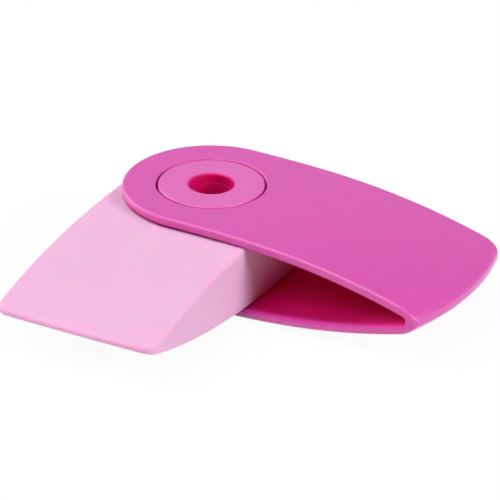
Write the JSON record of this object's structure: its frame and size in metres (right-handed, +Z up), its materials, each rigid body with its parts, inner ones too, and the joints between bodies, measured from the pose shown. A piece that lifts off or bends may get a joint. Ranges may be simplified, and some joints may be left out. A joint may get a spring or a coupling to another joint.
{
  "type": "swivel eraser",
  "caption": "Pocket eraser: a wedge of erasing compound that turns on a hollow hub and swings in and out of a crowned plastic sleeve.",
  "frame": {"origin": "on the pivot axis, in the plane of the underside that the part rests on", "axes": "+Z up along the pivot, +X along the sleeve to its nose; at rest the eraser points along -Y, a quarter turn open"},
  "size_m": [0.0532, 0.05, 0.0126],
  "materials": {
    "sleeve_plastic": "satin moulded",
    "eraser_compound": "smooth matte",
    "hub_plastic": "satin moulded"
  },
  "bodies": {
    "sleeve_body": {"sleeve": "sleeve_plastic"},
    "eraser_body": {"eraser": "eraser_compound", "hub_upper": "hub_plastic", "hub_lower": "hub_plastic"}
  },
  "joints": [
    {"name": "eraser_swing", "type": "hinge", "parent": "sleeve_body", "child": "eraser_body", "pos_m": [0, 0, 0.0063], "axis": [0, 0, 1], "continuous": true}
  ]
}
